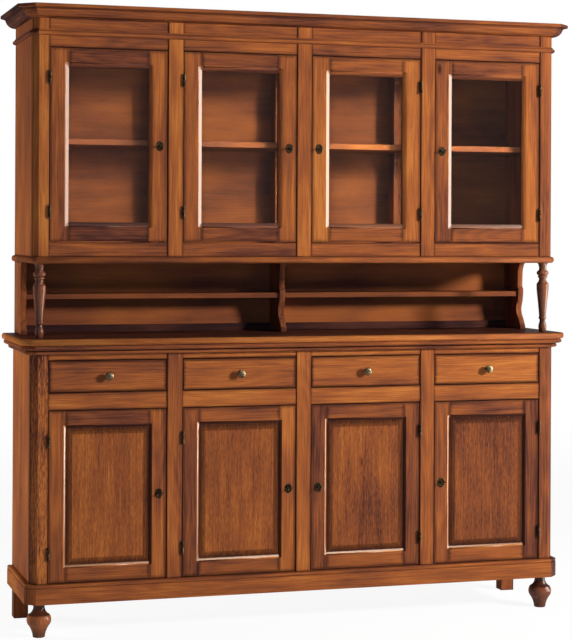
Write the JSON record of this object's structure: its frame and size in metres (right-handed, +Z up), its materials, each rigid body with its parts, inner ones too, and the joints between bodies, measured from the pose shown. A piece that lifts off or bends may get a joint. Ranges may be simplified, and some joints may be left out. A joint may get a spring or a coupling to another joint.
{
  "type": "dresser with hutch",
  "caption": "Free-standing wooden dresser: drawers over panelled doors, an open niche with turned columns, and a hutch with glazed doors under a moulded cornice.",
  "frame": {"origin": "on the floor, under the middle of the whole piece's box", "axes": "+Z up, +X to the right of someone facing the front, front faces -Y"},
  "size_m": [2.085, 0.464, 2.2],
  "materials": {
    "walnut": "stained, satin lacquer",
    "glass": "clear",
    "antique_brass": "aged",
    "dark_bronze": "dark patina"
  },
  "bodies": {
    "cabinet": {"front_feet": "walnut", "rear_feet": "walnut", "plinth": "walnut", "base_floor": "walnut", "side_panels": "walnut", "back_panels": "walnut", "base_posts": "walnut", "base_rails": "walnut", "partitions": "walnut", "shelves": "walnut", "shelf_pins": "dark_bronze", "drawer_runners": "walnut", "worktop": "walnut", "worktop_moulding": "walnut", "balusters": "walnut", "niche_brackets": "walnut", "niche_shelves": "walnut", "hutch_floor": "walnut", "hutch_posts": "walnut", "hutch_rails": "walnut", "astragal": "walnut", "cornice": "walnut", "hutch_top": "walnut", "hinge_pins": "dark_bronze"},
    "drawer_1": {"drawer_1_box": "walnut", "drawer_1_knob": "antique_brass"},
    "lower_door_1": {"lower_door_1_leaf": "walnut", "lower_door_1_hardware": "dark_bronze"},
    "lower_door_1_lock": {"lower_door_1_key": "dark_bronze"},
    "upper_door_1": {"upper_door_1_frame": "walnut", "upper_door_1_glass": "glass", "upper_door_1_hardware": "dark_bronze"},
    "upper_door_1_lock": {"upper_door_1_key": "dark_bronze"},
    "drawer_2": {"drawer_2_box": "walnut", "drawer_2_knob": "antique_brass"},
    "lower_door_2": {"lower_door_2_leaf": "walnut", "lower_door_2_hardware": "dark_bronze"},
    "lower_door_2_lock": {"lower_door_2_key": "dark_bronze"},
    "upper_door_2": {"upper_door_2_frame": "walnut", "upper_door_2_glass": "glass", "upper_door_2_hardware": "dark_bronze"},
    "upper_door_2_lock": {"upper_door_2_key": "dark_bronze"},
    "drawer_3": {"drawer_3_box": "walnut", "drawer_3_knob": "antique_brass"},
    "lower_door_3": {"lower_door_3_leaf": "walnut", "lower_door_3_hardware": "dark_bronze"},
    "lower_door_3_lock": {"lower_door_3_key": "dark_bronze"},
    "upper_door_3": {"upper_door_3_frame": "walnut", "upper_door_3_glass": "glass", "upper_door_3_hardware": "dark_bronze"},
    "upper_door_3_lock": {"upper_door_3_key": "dark_bronze"},
    "drawer_4": {"drawer_4_box": "walnut", "drawer_4_knob": "antique_brass"},
    "lower_door_4": {"lower_door_4_leaf": "walnut", "lower_door_4_hardware": "dark_bronze"},
    "lower_door_4_lock": {"lower_door_4_key": "dark_bronze"},
    "upper_door_4": {"upper_door_4_frame": "walnut", "upper_door_4_glass": "glass", "upper_door_4_hardware": "dark_bronze"},
    "upper_door_4_lock": {"upper_door_4_key": "dark_bronze"}
  },
  "joints": [
    {"name": "drawer_1_slide", "type": "slide", "parent": "cabinet", "child": "drawer_1", "axis": [0, -1, 0], "range_m": [0, 0.28]},
    {"name": "lower_door_1_hinge", "type": "hinge", "parent": "cabinet", "child": "lower_door_1", "pos_m": [-0.929, -0.1863, 0.4895], "axis": [0, 0, -1], "range_deg": [0, 105]},
    {"name": "lower_door_1_key_turn", "type": "hinge", "parent": "lower_door_1", "child": "lower_door_1_lock", "pos_m": [-0.5355, -0.181, 0.4895], "axis": [0, 1, 0], "range_deg": [0, 90]},
    {"name": "upper_door_1_hinge", "type": "hinge", "parent": "cabinet", "child": "upper_door_1", "pos_m": [-0.929, -0.1813, 1.716], "axis": [0, 0, -1], "range_deg": [0, 105]},
    {"name": "upper_door_1_key_turn", "type": "hinge", "parent": "upper_door_1", "child": "upper_door_1_lock", "pos_m": [-0.5355, -0.176, 1.716], "axis": [0, 1, 0], "range_deg": [0, 90]},
    {"name": "drawer_2_slide", "type": "slide", "parent": "cabinet", "child": "drawer_2", "axis": [0, -1, 0], "range_m": [0, 0.28]},
    {"name": "lower_door_2_hinge", "type": "hinge", "parent": "cabinet", "child": "lower_door_2", "pos_m": [-0.45, -0.1863, 0.4895], "axis": [0, 0, -1], "range_deg": [0, 105]},
    {"name": "lower_door_2_key_turn", "type": "hinge", "parent": "lower_door_2", "child": "lower_door_2_lock", "pos_m": [-0.0565, -0.181, 0.4895], "axis": [0, 1, 0], "range_deg": [0, 90]},
    {"name": "upper_door_2_hinge", "type": "hinge", "parent": "cabinet", "child": "upper_door_2", "pos_m": [-0.45, -0.1813, 1.716], "axis": [0, 0, -1], "range_deg": [0, 105]},
    {"name": "upper_door_2_key_turn", "type": "hinge", "parent": "upper_door_2", "child": "upper_door_2_lock", "pos_m": [-0.0565, -0.176, 1.716], "axis": [0, 1, 0], "range_deg": [0, 90]},
    {"name": "drawer_3_slide", "type": "slide", "parent": "cabinet", "child": "drawer_3", "axis": [0, -1, 0], "range_m": [0, 0.28]},
    {"name": "lower_door_3_hinge", "type": "hinge", "parent": "cabinet", "child": "lower_door_3", "pos_m": [0.45, -0.1863, 0.4895], "axis": [0, 0, 1], "range_deg": [0, 105]},
    {"name": "lower_door_3_key_turn", "type": "hinge", "parent": "lower_door_3", "child": "lower_door_3_lock", "pos_m": [0.0565, -0.181, 0.4895], "axis": [0, -1, 0], "range_deg": [0, 90]},
    {"name": "upper_door_3_hinge", "type": "hinge", "parent": "cabinet", "child": "upper_door_3", "pos_m": [0.45, -0.1813, 1.716], "axis": [0, 0, 1], "range_deg": [0, 105]},
    {"name": "upper_door_3_key_turn", "type": "hinge", "parent": "upper_door_3", "child": "upper_door_3_lock", "pos_m": [0.0565, -0.176, 1.716], "axis": [0, -1, 0], "range_deg": [0, 90]},
    {"name": "drawer_4_slide", "type": "slide", "parent": "cabinet", "child": "drawer_4", "axis": [0, -1, 0], "range_m": [0, 0.28]},
    {"name": "lower_door_4_hinge", "type": "hinge", "parent": "cabinet", "child": "lower_door_4", "pos_m": [0.929, -0.1863, 0.4895], "axis": [0, 0, 1], "range_deg": [0, 105]},
    {"name": "lower_door_4_key_turn", "type": "hinge", "parent": "lower_door_4", "child": "lower_door_4_lock", "pos_m": [0.5355, -0.181, 0.4895], "axis": [0, -1, 0], "range_deg": [0, 90]},
    {"name": "upper_door_4_hinge", "type": "hinge", "parent": "cabinet", "child": "upper_door_4", "pos_m": [0.929, -0.1813, 1.716], "axis": [0, 0, 1], "range_deg": [0, 105]},
    {"name": "upper_door_4_key_turn", "type": "hinge", "parent": "upper_door_4", "child": "upper_door_4_lock", "pos_m": [0.5355, -0.176, 1.716], "axis": [0, -1, 0], "range_deg": [0, 90]}
  ]
}
